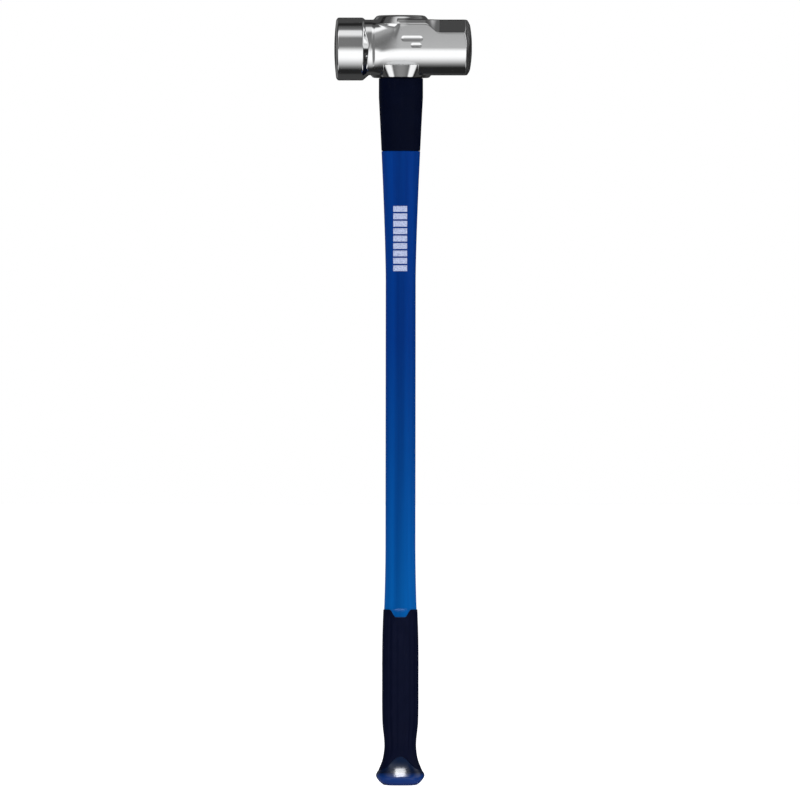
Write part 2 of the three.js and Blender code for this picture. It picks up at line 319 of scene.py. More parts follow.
def cheek_mark(x, h):
    """Depth of the plain shallow bars pressed into the cheeks."""
    long_bar = pill_field(x, h, (13.0, 9.6), 9.5, 3.4)
    short_bar = pill_field(x, h, (18.0, 1.6), 3.5, 3.0)
    return 0.62 * (1.0 - smooth_step(-2.5, 0.0, np.minimum(long_bar, short_bar)))


def bar_field(x, y, z):
    """Eye block and octagonal poll: one bar whose upper edges change along X."""
    h = z - POLL_Z
    side = np.abs(y)
    poll_share = smooth_step(BLOCK_END_X, POLL_START_X, x)
    upper_flat = UPPER_FLAT + (POLL_FLAT - UPPER_FLAT) * poll_share
    bulge = CHEEK_CROWN * np.clip(1.0 - ((h - 4.0) / 22.0) ** 2, -2.0, 1.0)
    cheek = side - (BODY_DEPTH + bulge - cheek_mark(x, h))
    lean = np.radians(BLOCK_LEAN + (POLL_LEAN - BLOCK_LEAN) * poll_share)
    upper = (side - BODY_DEPTH) * np.cos(lean) + (h - upper_flat) * np.sin(lean)
    lower = (side - h - (BODY_DEPTH + LOWER_FLAT)) / math.sqrt(2)
    solid = soft_max(cheek, lower, LOWER_FILLET)
    solid = soft_max(solid, upper, 0.6)
    solid = soft_max(solid, h - BODY_HEIGHT, 1.2)
    return soft_max(solid, -h - BODY_HEIGHT, 2.0)


def neck_envelope(x, y, z):
    """Rounded outline that narrows from the eye block to the neck behind the bell."""
    shoulder = soft_min(soft_max(0.46 * (x + 34.3), 0.0, 0.4), 1.6, 0.3)
    depth = NECK_DEPTH + shoulder + 0.095 * np.maximum(x + 31.0, 0.0)
    height = 34.5 + 11.0 * smooth_step(-9.0, 8.0, x)
    power = 2.4 + 1.2 * smooth_step(-33.0, -9.0, x) + 6.0 * smooth_step(-8.0, 6.0, x)
    return oval_field(y, z - POLL_Z, depth, height, power)


def body_field(x, y, z):
    """Everything of the head but the bell, the collar and the skirt."""
    radius = np.hypot(y, z - POLL_Z)
    solid = soft_max(bar_field(x, y, z), neck_envelope(x, y, z), 1.0)
    solid = soft_max(solid, poll_end_field(x, radius), 0.9)
    return np.maximum(solid, -55.0 - x)


def top_collar_field(x, y, z):
    """Flared oval collar round the top of the eye, which draws in again inside the block."""
    share = (HEAD_TOP_Z - z) / COLLAR_HEIGHT
    below = 9.0 * np.clip(share - 1.0, 0.0, None)
    half_x = COLLAR_HALF_X + COLLAR_FLARE_X * share - below
    half_y = COLLAR_HALF_Y + COLLAR_FLARE_Y * share - below
    sides = oval_field(x, y, half_x, half_y, COLLAR_POWER)
    solid = soft_max(sides * 0.8, z - HEAD_TOP_Z, 2.2)
    return np.maximum(solid, HEAD_TOP_Z - 20.0 - z)


def skirt_field(x, y, z):
    """Cone round the shaft with two ears at its sides, under the eye block."""
    rise = z - SKIRT_Z
    cone = (np.hypot(x, y) - (SKIRT_RADIUS + SKIRT_FLARE * rise)) * 0.82
    ears = oval_field(x, y, EAR_HALF_X + 0.9 * rise, EAR_HALF_Y + 1.15 * rise, 2.4) * 0.7
    ears = np.maximum(ears, rise - EAR_HEIGHT)
    solid = soft_min(cone, ears, 0.5)
    solid = soft_max(solid, -rise, 1.0)
    return soft_max(solid, rise - SKIRT_HEIGHT, 0.2)


def eye_halves(z):
    """Half width and half depth of the eye at height z."""
    flare = np.clip(np.abs(z - EYE_MIDDLE_Z) / EYE_REACH, 0.0, 1.2)
    return EYE_HALF_X + EYE_FLARE_X * flare, EYE_HALF_Y + EYE_FLARE_Y * flare


def eye_field(x, y, z):
    half_x, half_y = eye_halves(z)
    return oval_field(x, y, half_x, half_y, OVAL_POWER)


def head_field(x, y, z):
    solid = soft_min(bell_field(x, y, z), body_field(x, y, z), 1.2)
    solid = soft_min(solid, top_collar_field(x, y, z), 1.2)
    solid = soft_min(solid, skirt_field(x, y, z), 0.3)
    return soft_max(solid, -eye_field(x, y, z), 1.0)


def make_head():
    """The one-piece forging, as a fine surface over its distance field."""
    margin = 1.7
    low, high = HEAD_LOW - margin, HEAD_HIGH + margin
    points, faces = surface_net(head_field, low, high, HEAD_STEP)
    points, normals = settle(head_field, points)
    points = np.clip(points, HEAD_LOW, HEAD_HIGH)
    return make_piece("forged_head", "hammer_head", polished_steel(),
                      points, faces.tolist(), normals)


# ---------------------------------------------------------------- handle outline

SHAFT_HALF = 17.8
SHAFT_DEPTH = 0.8
TAPER_FROM_Z, TAPER_UNTIL_Z = 600.0, 817.0
SWELL_FROM_Z = 291.0
SWELL_HALF = 19.3
GRIP_PROUD = 1.0
GAP = 0.3

# (half width or half depth, height) of the grip, and of the butt's rim below it
GRIP_LINE = [(26.0, 18.0), (21.3, 30.0), (19.2, 42.0), (21.2, 75.0), (21.6, 125.0),
             (21.4, 173.0), (20.3, 209.0)]
GRIP_DEPTHS = [(21.4, 18.0), (18.5, 24.5), (16.8, 30.0), (15.6, 42.0), (17.6, 75.0),
               (18.1, 125.0), (18.0, 173.0), (17.0, 209.0)]
RIM_LINE = [(15.0, 0.0), (18.6, 0.5), (21.0, 1.6), (23.5, 3.4), (26.0, 6.2), (28.2, 9.4),
            (28.85, 12.0), (28.2, 14.6), (26.0, 18.0)]
CAP_DEPTHS = [(13.0, 0.0), (16.6, 0.5), (19.0, 1.6), (21.6, 3.4), (24.2, 6.0), (26.0, 8.0),
              (26.4, 9.0), (26.0, 10.2), (24.9, 12.0), (23.0, 15.0), (21.0, 18.2), (19.2, 21.2),
              (17.6, 24.5), (16.0, 29.0), (15.0, 36.0), (14.6, 42.0), (16.6, 75.0)]


def shaft_half(z):
    """Half width of the bare shaft at height z."""
    rise = np.clip((z - TAPER_FROM_Z) / (TAPER_UNTIL_Z - TAPER_FROM_Z), 0.0, 1.0)
    swell = np.clip((SWELL_FROM_Z - z) / (SWELL_FROM_Z - GRIP_HIGH[2]), 0.0, 1.0)
    taper = (SLEEVE_HIGH[0] - SHAFT_HALF) * rise**1.4
    return SHAFT_HALF + taper + (SWELL_HALF - SHAFT_HALF) * swell**2


def smooth_line(points, at):
    """Smooth curve through (value, height) points, read at the given heights."""
    height = np.array([p[1] for p in points])
    value = np.array([p[0] for p in points])
    slope = np.gradient(value, height)
    i = np.clip(np.searchsorted(height, at) - 1, 0, len(points) - 2)
    span = height[i + 1] - height[i]
    t = np.clip((at - height[i]) / span, 0.0, 1.0)
    return ((2 * t**3 - 3 * t**2 + 1) * value[i] + (t**3 - 2 * t**2 + t) * span * slope[i]
            + (3 * t**2 - 2 * t**3) * value[i + 1] + (t**3 - t**2) * span * slope[i + 1])


# ---------------------------------------------------------------- materials (node helpers)


def new_material(name):
    material = bpy.data.materials.new(name)
    material.use_nodes = True
    tree = material.node_tree
    shader = tree.nodes["Principled BSDF"]
    return material, tree, shader


def node(tree, kind, settings=None, **inputs):
    """A new node; inputs are given by name or as i0, i1, and a socket is linked, not copied."""
    made = tree.nodes.new(kind)
    for key, value in (settings or {}).items():
        setattr(made, key, value)
    for key, value in inputs.items():
        numbered = key[0] == "i" and key[1:].isdigit()
        socket = made.inputs[int(key[1:]) if numbered else key]
        if isinstance(value, bpy.types.NodeSocket):
            tree.links.new(value, socket)
        else:
            socket.default_value = value
    return made


def object_place(tree):
    """Object coordinates in metres."""
    return node(tree, "ShaderNodeTexCoord").outputs["Object"]


def stretched_place(tree, stretch):
    """Object coordinates multiplied along each axis, so that patterns run along the low ones."""
    place = object_place(tree)
    return node(tree, "ShaderNodeMapping", None, Vector=place, Scale=stretch).outputs["Vector"]


def noise(tree, place, scale, detail=4.0, rough=0.5):
    made = node(tree, "ShaderNodeTexNoise", None,
                Vector=place, Scale=scale, Detail=detail, Roughness=rough)
    return made.outputs["Fac"]


def spread(tree, value, low, high, to_low=0.0, to_high=1.0):
    """Value mapped smoothly from low and high to to_low and to_high, and held beyond them."""
    made = node(tree, "ShaderNodeMapRange", {"interpolation_type": "SMOOTHSTEP"}, Value=value)
    made.inputs["From Min"].default_value = low
    made.inputs["From Max"].default_value = high
    made.inputs["To Min"].default_value = to_low
    made.inputs["To Max"].default_value = to_high
    return made.outputs["Result"]


def maths(tree, operation, a, b=0.0):
    return node(tree, "ShaderNodeMath", {"operation": operation}, i0=a, i1=b).outputs[0]


def part_of(tree, place, axis):
    return node(tree, "ShaderNodeSeparateXYZ", None, Vector=place).outputs[axis]


def mix_value(tree, share, a, b):
    return node(tree, "ShaderNodeMix", {"data_type": "FLOAT"}, i0=share, i2=a, i3=b).outputs[0]


def mix_colour(tree, share, a, b):
    return node(tree, "ShaderNodeMix", {"data_type": "RGBA"}, i0=share, i6=a, i7=b).outputs[2]


def multiply_colour(tree, colour, by):
    settings = {"data_type": "RGBA", "blend_type": "MULTIPLY"}
    return node(tree, "ShaderNodeMix", settings, i0=1.0, i6=colour, i7=by).outputs[2]


def colour_ramp(tree, value, stops):
    """Colour read from (value, colour) stops."""
    made = node(tree, "ShaderNodeValToRGB", None, Fac=value)
    ramp = made.color_ramp
    ramp.elements[0].position, ramp.elements[0].color = stops[0][0], (*stops[0][1], 1)
    ramp.elements[1].position, ramp.elements[1].color = stops[-1][0], (*stops[-1][1], 1)
    for place, colour in stops[1:-1]:
        ramp.elements.new(place).color = (*colour, 1)
    return made.outputs["Color"]


def bump(tree, shader, height, depth, strength=1.0):
    made = node(tree, "ShaderNodeBump", None, Height=height, Distance=depth, Strength=strength)
    tree.links.new(made.outputs["Normal"], shader.inputs["Normal"])


# ---------------------------------------------------------------- materials


# The turned finish of the end faces fades in between these distances from the eye, in metres.
ENDS_FROM, ENDS_UNTIL = 0.0762, 0.0786


def polished_steel():
    """Polished forging: lengthwise polishing lines, scuffs, and turned rings on the end faces."""
    material, tree, shader = new_material("polished_steel")
    shader.inputs["Metallic"].default_value = 1.0
    place = object_place(tree)
    streak = noise(tree, stretched_place(tree, (0.06, 1, 1)), 2200.0, 3.0)
    cloud = noise(tree, place, 45.0, 5.0)
    scuff = spread(tree, noise(tree, place, 330.0, 6.0, 0.7), 0.60, 0.74)
    colour = mix_colour(tree, cloud, (0.74, 0.75, 0.76, 1), (0.8, 0.8, 0.8, 1))
    colour = mix_colour(tree, maths(tree, "MULTIPLY", scuff, 0.35), colour, (0.52, 0.52, 0.53, 1))
    colour = mix_colour(tree, maths(tree, "MULTIPLY", streak, 0.12), colour, (0.6, 0.6, 0.61, 1))
    tree.links.new(colour, shader.inputs["Base Color"])
    centre = (0, 0, -POLL_Z * MM)
    centred = node(tree, "ShaderNodeMapping", None, Vector=place, Location=centre).outputs["Vector"]
    turned = {"wave_type": "RINGS", "rings_direction": "X"}
    rings = node(tree, "ShaderNodeTexWave", turned,
                 Vector=centred, Scale=260.0, Distortion=1.5, Detail=2.0).outputs["Fac"]
    from_middle = maths(tree, "ABSOLUTE", part_of(tree, place, "X"))
    endness = spread(tree, from_middle, ENDS_FROM, ENDS_UNTIL)
    ring_rough = maths(tree, "ADD", maths(tree, "MULTIPLY", rings, 0.16), 0.08)
    ends = maths(tree, "MULTIPLY", endness, ring_rough)
    scuff_rough = maths(tree, "MULTIPLY", scuff, 0.14)
    rough = maths(tree, "ADD", spread(tree, cloud, 0.3, 0.75, 0.06, 0.12), scuff_rough)
    tree.links.new(maths(tree, "ADD", rough, ends), shader.inputs["Roughness"])
    height = maths(tree, "ADD", streak, maths(tree, "MULTIPLY", rings, endness))
    bump(tree, shader, height, 0.00002, 0.3)
    return material


def jacket_blue():
    """Moulded blue that darkens towards the head, partly its own colour and partly painted shade, with
    painted shade down the middle of its front and back.
    """
    material, tree, shader = new_material("jacket_blue")
    place = object_place(tree)
    height = part_of(tree, place, "Z")
    # The blue darkens towards the head: partly the plastic's own colour, partly painted shade.
    tone_and_painted_shade = colour_ramp(tree, height, [
        (0.20, (0.0, 0.074, 0.285)),
        (0.30, (0.0, 0.057, 0.245)),
        (0.40, (0.0, 0.040, 0.200)),
        (0.53, (0.0, 0.024, 0.160)),
        (0.76, (0.0, 0.023, 0.155)),
    ])
    flow = noise(tree, stretched_place(tree, (1, 1, 0.015)), 130.0, 3.0)
    fine = noise(tree, stretched_place(tree, (1, 1, 0.03)), 1500.0, 4.0, 0.6)
    scratch = spread(tree, fine, 0.58, 0.72)
    scuff = spread(tree, noise(tree, place, 75.0, 8.0, 0.72), 0.60, 0.74)
    # Painted shade: the blue is darkened down the middle of the front and back and kept lighter towards the
    # sides.
    from_middle = maths(tree, "ABSOLUTE", part_of(tree, place, "X"))
    side = spread(tree, from_middle, 0.001, 0.0095, 0.84, 1.02)
    flow_share = spread(tree, flow, 0.3, 0.7)
    flow_tone = mix_colour(tree, flow_share, (0.82, 0.82, 0.86, 1), (1.1, 1.1, 1.08, 1))
    colour = multiply_colour(tree, tone_and_painted_shade, flow_tone)
    colour = multiply_colour(tree, colour, side)
    colour = mix_colour(tree, maths(tree, "MULTIPLY", scratch, 0.10), colour, (0.01, 0.075, 0.30, 1))
    colour = mix_colour(tree, maths(tree, "MULTIPLY", scuff, 0.07), colour, (0.02, 0.06, 0.2, 1))
    tree.links.new(colour, shader.inputs["Base Color"])
    scuff_rough = maths(tree, "MULTIPLY", scuff, 0.22)
    rough = maths(tree, "ADD", spread(tree, flow, 0.25, 0.8, 0.27, 0.36), scuff_rough)
    rough = maths(tree, "ADD", rough, maths(tree, "MULTIPLY", scratch, 0.12))
    tree.links.new(rough, shader.inputs["Roughness"])
    shader.inputs["Specular IOR Level"].default_value = 0.035
    bump(tree, shader, noise(tree, place, 1500.0, 2.0), 0.00003, 0.15)
    return material


def butt_blue():
    """The butt's harder blue: blue round the rim, painted shade that turns the flare near black, darker
    towards the bottom face, and scuffed underneath.
    """
    material, tree, shader = new_material("butt_blue")
    place = object_place(tree)
    height = part_of(tree, place, "Z")
    cloud = noise(tree, place, 90.0, 4.0)
    # Painted shade: the flare above the rim is made near black; the rim keeps the cap's own blue, and the
    # blue darkens towards the bottom face.
    tone_and_painted_shade = colour_ramp(tree, height, [
        (0.0, (0.008, 0.018, 0.085)),
        (0.004, (0.006, 0.025, 0.130)),
        (0.0105, (0.001, 0.026, 0.150)),
        (0.014, (0.0001, 0.004, 0.022)),
        (0.03, (0.0001, 0.007, 0.030)),
    ])
    scuff = spread(tree, noise(tree, place, 240.0, 8.0, 0.75), 0.58, 0.72)
    low = spread(tree, height, 0.0, 0.010, 1.0, 0.15)
    worn = maths(tree, "MULTIPLY", scuff, low)
    colour = mix_colour(tree, maths(tree, "MULTIPLY", worn, 0.25), tone_and_painted_shade, (0.03, 0.06, 0.16, 1))
    tree.links.new(colour, shader.inputs["Base Color"])
    worn_rough = maths(tree, "MULTIPLY", worn, 0.3)
    rough = maths(tree, "ADD", spread(tree, cloud, 0.3, 0.75, 0.16, 0.26), worn_rough)
    tree.links.new(rough, shader.inputs["Roughness"])
    shader.inputs["Specular IOR Level"].default_value = 0.35
    bump(tree, shader, noise(tree, place, 900.0, 3.0), 0.00003, 0.2)
    return material


def dark_rubber(name, low, high, gloss):
    """Moulded rubber: spark-eroded grain, cloudy tone, and pale rubbed patches."""
    material, tree, shader = new_material(name)
    place = object_place(tree)
    grain = noise(tree, place, 1400.0, 4.0, 0.6)
    cloud = noise(tree, place, 60.0, 4.0)
    patches = noise(tree, stretched_place(tree, (1, 1, 0.35)), 120.0, 8.0, 0.75)
    rubbed = spread(tree, patches, 0.57, 0.72)
    colour = mix_colour(tree, cloud, (*low, 1), (*high, 1))
    colour = mix_colour(tree, maths(tree, "MULTIPLY", rubbed, 0.22), colour, (0.012, 0.013, 0.02, 1))
    tree.links.new(colour, shader.inputs["Base Color"])
    rubbed_rough = maths(tree, "MULTIPLY", rubbed, 0.2)
    rough = maths(tree, "ADD", spread(tree, cloud, 0.3, 0.8, 0.42, 0.54), rubbed_rough)
    tree.links.new(rough, shader.inputs["Roughness"])
    shader.inputs["Specular IOR Level"].default_value = gloss
    bump(tree, shader, grain, 0.0001, 0.35)
    return material


def glass_fibre():
    """Pale yellow-green pultruded rod with lengthwise fibres."""
    material, tree, shader = new_material("glass_fibre")
    fibre = noise(tree, stretched_place(tree, (1, 1, 0.01)), 2600.0, 4.0)
    colour = mix_colour(tree, fibre, (0.34, 0.33, 0.20, 1), (0.52, 0.50, 0.34, 1))
    tree.links.new(colour, shader.inputs["Base Color"])
    tree.links.new(spread(tree, fibre, 0.2, 0.8, 0.4, 0.6), shader.inputs["Roughness"])
    bump(tree, shader, fibre, 0.00008, 0.4)
    return material


def amber_epoxy():
    """Cast dark amber resin with fine clouding."""
    material, tree, shader = new_material("amber_epoxy")
    cloud = noise(tree, object_place(tree), 220.0, 5.0)
    colour = mix_colour(tree, cloud, (0.03, 0.024, 0.018, 1), (0.09, 0.07, 0.05, 1))
    tree.links.new(colour, shader.inputs["Base Color"])
    tree.links.new(spread(tree, cloud, 0.3, 0.8, 0.22, 0.4), shader.inputs["Roughness"])
    bump(tree, shader, cloud, 0.0002, 0.3)
    return material


def grey_foam():
    """Fine closed-cell foam."""
    material, tree, shader = new_material("grey_foam")
    place = object_place(tree)
    cells = node(tree, "ShaderNodeTexVoronoi", None, Vector=place, Scale=1400.0).outputs["Distance"]
    colour = mix_colour(tree, cells, (0.03, 0.03, 0.032, 1), (0.1, 0.1, 0.105, 1))
    tree.links.new(colour, shader.inputs["Base Color"])
    shader.inputs["Roughness"].default_value = 0.9
    bump(tree, shader, cells, 0.0003, 0.6)
    return material


def white_print():
    """Pale pad-printed ink, slightly worn."""
    material, tree, shader = new_material("white_print")
    wear = noise(tree, object_place(tree), 700.0, 5.0, 0.65)
    worn = spread(tree, wear, 0.34, 0.62)
    colour = mix_colour(tree, worn, (0.22, 0.26, 0.42, 1), (0.40, 0.44, 0.60, 1))
    tree.links.new(colour, shader.inputs["Base Color"])
    tree.links.new(spread(tree, wear, 0.3, 0.7, 0.5, 0.38), shader.inputs["Roughness"])
    shader.inputs["Specular IOR Level"].default_value = 0.1
    return material


# ---------------------------------------------------------------- scene


CAMERA_ROLL = -0.06
CAMERA_DISTANCE = 15.0
CAMERA_X, CAMERA_Z = -0.0007, 0.4577
VIEW_WIDTH = 0.9504
SENSOR_WIDTH = 36.0


def make_camera():
    """A far, level camera in front, which sees VIEW_WIDTH metres across at the object."""
    camera_data = bpy.data.cameras.new("camera")
    camera = bpy.data.objects.new("camera", camera_data)
    bpy.context.scene.collection.objects.link(camera)
    camera_data.sensor_width = SENSOR_WIDTH
    camera_data.lens = SENSOR_WIDTH * CAMERA_DISTANCE / VIEW_WIDTH
    camera.location = (CAMERA_X, -CAMERA_DISTANCE, CAMERA_Z)
    camera.rotation_euler = (math.radians(90), math.radians(CAMERA_ROLL), 0)
    bpy.context.scene.camera = camera


STUDIO_DARK = 0.022
# Cards round the object: strength, then the ranges of pitch, across and back that each one fills.
# Pitch is 0 straight in front and 90 overhead, in degrees; across and back are the direction's
# X and Y. A range is (start, full, full until, end), and ANY leaves a direction open.
ANY = (-2, -1.9, 1.9, 2)
STUDIO_CARDS = [
    (1.3, (-84, -28, -14, 10.8), (-0.17, 0.0, 0.78, 0.9), ANY),  # low in front, middle and right
    (1.3, (-84, -28, -7, 2.5), (-0.66, -0.5, -0.17, 0.0), ANY),  # low in front, left
    (0.22, (-70, -50, -12, 10), (-1.1, -1.0, -0.66, -0.5), ANY),  # low in front, far left
    (0.20, (-12, 10, 46, 60), ANY, ANY),  # level to half way up in front
    (1.0, (38, 57, 65, 77), (-0.75, -0.6, 0.36, 0.5), ANY),  # high in front
    (0.22, (8, 36, 62, 72), (-0.75, -0.62, -0.26, -0.12), ANY),  # high in front, left
    (0.55, (60, 75, 120, 130), (0.62, 0.74, 1.9, 2), (-2, -1.9, 0.5, 0.7)),  # overhead, far right
    (0.085, (62, 76, 88, 97), ANY, ANY),  # just in front of overhead
    (0.07, (66, 70, 80, 87), (-0.25, -0.12, 0.12, 0.25), ANY),  # the same, middle
    (0.13, (86, 98, 122, 136), (0.15, 0.4, 0.7, 0.85), (-2, -1.9, 0.5, 0.7)),  # just behind overhead, right
    (0.05, (104, 114, 165, 178), ANY, ANY),  # behind, from high to level
    (0.04, (-86, -76, -60, -50), ANY, ANY),  # steeply below in front
    (0.04, (-170, -150, -112, -100), ANY, ANY),  # below, behind
    (1.15, (-100, -90, -74, -66), (0.36, 0.46, 0.6, 0.72), (-2, -1.9, 0.03, 0.12)),  # under, right
    (1.15, (-100, -90, -74, -66), (-0.72, -0.6, -0.46, -0.36), (-2, -1.9, 0.03, 0.12)),  # under, left
    (0.7, (4, 20, 150, 170), (0.6, 0.8, 1.9, 2), (-2, -1.9, 0.2, 0.34)),  # right side
    (0.15, (130, 150, 200, 210), (-2, -1.9, -0.5, -0.2), (0.0, 0.2, 1.9, 2)),  # behind, left
    (0.15, (-210, -200, -150, -130), (-2, -1.9, -0.5, -0.2), (0.0, 0.2, 1.9, 2)),  # the same, below the level
]


def window(tree, value, edges, unit=1.0):
    """1 inside a range and 0 outside it, with soft edges."""
    start, full, until, end = (edge * unit for edge in edges)
    up = spread(tree, value, start, full)
    down = spread(tree, value, until, end, 1.0, 0.0)
    return maths(tree, "MULTIPLY", up, down)


def card_light(tree, pitch, across, back, card):
    strength, pitch_edges, across_edges, back_edges = card
    light = window(tree, pitch, pitch_edges, math.radians(1))
    for value, edges in ((across, across_edges), (back, back_edges)):
        if edges != ANY:
            light = maths(tree, "MULTIPLY", light, window(tree, value, edges))
    return maths(tree, "MULTIPLY", light, strength)


def make_world():
    """White surroundings for the camera, and a dark studio with large cards for everything else."""
    world = bpy.data.worlds.new("studio")
    bpy.context.scene.world = world
    world.use_nodes = True
    world.cycles.sampling_method = "NONE"
    tree = world.node_tree
    tree.nodes.clear()
    path = node(tree, "ShaderNodeLightPath")
    toward = node(tree, "ShaderNodeTexCoord").outputs["Generated"]
    parts = node(tree, "ShaderNodeSeparateXYZ", None, Vector=toward)
    across, back, up = parts.outputs
    pitch = maths(tree, "ARCTAN2", up, maths(tree, "MULTIPLY", back, -1.0))
    total = STUDIO_DARK
    for card in STUDIO_CARDS:
        total = maths(tree, "ADD", card_light(tree, pitch, across, back, card), total)
    shown = mix_value(tree, path.outputs["Is Camera Ray"], total, 1.0)
    background = node(tree, "ShaderNodeBackground", None, Strength=shown)
    background.inputs["Color"].default_value = (1, 1, 1, 1)
    output = node(tree, "ShaderNodeOutputWorld")
    tree.links.new(background.outputs[0], output.inputs[0])


def make_floor():
    """A pale floor that glows enough to read as white, and isn't seen in reflections."""
    size = 40.0
    corners = [(-size, -size, 0), (size, -size, 0), (size, size, 0), (-size, size, 0)]
    mesh = bpy.data.meshes.new("floor")
    mesh.from_pydata(corners, [], [(0, 1, 2, 3)])
    floor = bpy.data.objects.new("floor", mesh)
    bpy.context.scene.collection.objects.link(floor)
    material, tree, shader = new_material("pale_floor")
    shader.inputs["Base Color"].default_value = (0.85, 0.85, 0.85, 1)
    shader.inputs["Roughness"].default_value = 0.9
    shader.inputs["Emission Color"].default_value = (1, 1, 1, 1)
    shader.inputs["Emission Strength"].default_value = 0.82
    mesh.materials.append(material)
    floor.visible_glossy = False


def make_lights():
    """Two soft area lights from the front, and the butt's strip."""
    for name, power, size, place, turn in (
        ("key_light", 60.0, 1.6, (-1.6, -2.4, 2.6), (45, 0, -33)),
        ("fill_light", 30.0, 2.0, (2.4, -2.0, 1.2), (68, 0, 50)),
    ):
        data = bpy.data.lights.new(name, "AREA")
        data.energy = power
        data.size = size
        light = bpy.data.objects.new(name, data)
        light.location = place
        light.rotation_euler = [math.radians(a) for a in turn]
        light.visible_glossy = False
        light.visible_camera = False
        bpy.context.scene.collection.objects.link(light)
    make_strip_light()


def make_strip_light():
    """A narrow strip over the front that only shows as the gleam on the butt."""
    data = bpy.data.lights.new("strip_light", "AREA")
    data.shape = "RECTANGLE"
    data.size, data.size_y = 0.15, 0.1
    data.energy = 0.2
    data.spread = math.radians(50)
    strip = bpy.data.objects.new("strip_light", data)
    tilt, distance = math.radians(66), 0.4
    strip.location = (0.0, -distance * math.cos(tilt), 0.014 + distance * math.sin(tilt))
    strip.rotation_euler = (math.radians(90) - tilt, 0, 0)
    strip.visible_diffuse = False
    strip.visible_camera = False
    bpy.context.scene.collection.objects.link(strip)


# ---------------------------------------------------------------- handle pieces

SIDES = 160
ROUND = even_angles(SIDES)
EDGE_STEPS = 6
TONGUE_HALF_X, TONGUE_HALF_Y = 15.6, 11.9
SLEEVE_THICKNESS = 3.0


def outline(z, inset=0.0):
    """One ring of the handle's outer line at height z, shaft above the grip and grip below."""
    at = np.array([z])
    if z > GRIP_HIGH[2] - 0.01:
        half_x = float(shaft_half(at)[0])
        half_y = half_x * SHAFT_DEPTH
    else:
        half_x = float(smooth_line(GRIP_LINE, at)[0]) - GRIP_PROUD
        half_y = float(smooth_line(GRIP_DEPTHS, at)[0]) - GRIP_PROUD
    return oval_ring(ROUND, half_x - inset, half_y - inset, z)


def rolled_edge(z, direction, radius):
    """Rings that round the outline off over radius towards z, going up (1) or down (-1)."""
    rings = []
    for turn in np.linspace(0.0, math.pi / 2, EDGE_STEPS):
        drop = radius * (1.0 - math.sin(turn))
        rings.append(outline(z - direction * drop, radius * (1.0 - math.cos(turn))))
    return rings


def core_ring(z, margin=GAP):
    return oval_ring(ROUND, CORE_HIGH[0] + margin, CORE_HIGH[1] + margin, z)


def tongue_ring(z, margin=0.0):
    return oval_ring(ROUND, TONGUE_HALF_X + margin, TONGUE_HALF_Y + margin, z)


def eye_ring(z, margin):
    half_x, half_y = eye_halves(z)
    return oval_ring(ROUND, half_x - margin, half_y - margin, z)


def add_tube(name, node_name, material, rings):
    """A piece whose rings run up its outside and back down its inside."""
    points, faces = skin(rings, closed=True)
    make_piece(name, node_name, material, points, faces)


def make_jacket():
    """Moulded shaft cover: a long tube on the core with a stepped seat and a tongue for the head."""
    seat_z = SLEEVE_LOW[2] - GAP
    rings = [outline(z) for z in np.linspace(JACKET_LOW[2], GRIP_HIGH[2] - 0.05, 30)]
    rings += [outline(z) for z in np.linspace(GRIP_HIGH[2] + 0.3, seat_z - 1.0, 220)]
    rings += rolled_edge(seat_z, 1, 0.9)
    rings.append(outline(seat_z, SLEEVE_THICKNESS + 0.2))
    seat_heights = np.linspace(seat_z + 0.6, SLEEVE_HIGH[2] - 1.0, 24)
    rings += [outline(z, SLEEVE_THICKNESS + GAP) for z in seat_heights]
    rings.append(tongue_ring(SLEEVE_HIGH[2] - 0.5))
    rings += [tongue_ring(z) for z in np.linspace(SLEEVE_HIGH[2] + 0.5, JACKET_HIGH[2] - 0.6, 8)]
    rings.append(tongue_ring(JACKET_HIGH[2], -0.5))
    rings += [core_ring(z) for z in np.linspace(JACKET_HIGH[2], JACKET_LOW[2], 40)]
    add_tube("blue_jacket", "jacket", jacket_blue(), rings)


BARS = 9
BAR_TOP_Z = 688.0
BAR_PITCH = 8.8
BAR_HEIGHT = 7.0
BAR_LEFT, BAR_RIGHT = -9.0, 7.6
INK_PROUD, INK_SUNK = 0.07, 0.04


def make_print():
    """A ladder of plain bars printed down the front of the jacket."""
    points, faces = [], []
    for bar in range(BARS):
        add_bar(points, faces, BAR_TOP_Z - bar * BAR_PITCH - BAR_HEIGHT)
    make_piece("jacket_print", None, white_print(), np.array(points), faces)


def add_bar(points, faces, low):
    """One bar laid on the jacket, as a thin raised sheet with turned-down edges."""
    columns, rows = 26, 7
    start = len(points)
    for j in range(rows):
        v = (j - 1) / (rows - 3)
        for i in range(columns):
            u = (i - 1) / (columns - 3)
            edge = i in (0, columns - 1) or j in (0, rows - 1)
            uu, vv = min(max(u, 0.0), 1.0), min(max(v, 0.0), 1.0)
            x = BAR_LEFT + (BAR_RIGHT - BAR_LEFT) * uu
            z = low + BAR_HEIGHT * vv
            half_x = float(shaft_half(np.array([z]))[0])
            share = 1.0 - (abs(x) / half_x) ** OVAL_POWER
            y = -half_x * SHAFT_DEPTH * share ** (1 / OVAL_POWER)
            points.append((x, y + (INK_SUNK if edge else -INK_PROUD), z))
    for j in range(rows - 1):
        for i in range(columns - 1):
            a = start + j * columns + i
            faces.append((a, a + 1, a + columns + 1, a + columns))


def make_sleeve():
    """Thick rubber collar that guards the shaft under the head."""
    low, high = SLEEVE_LOW[2], SLEEVE_HIGH[2]
    rings = rolled_edge(low, -1, 0.8)[::-1]
    rings += [outline(z) for z in np.linspace(low + 1.2, high - 1.6, 60)]
    rings += rolled_edge(high, 1, 1.2)
    rings.append(outline(high, SLEEVE_THICKNESS - 0.4))
    rings += [outline(z, SLEEVE_THICKNESS) for z in np.linspace(high - 0.4, low + 0.4, 24)]
    rings.append(outline(low, SLEEVE_THICKNESS - 0.4))
    rubber = dark_rubber("guard_rubber", (0.0001, 0.0008, 0.0052), (0.0006, 0.0018, 0.0095), 0.04)
    add_tube("rubber_sleeve", "overstrike_sleeve", rubber, rings)


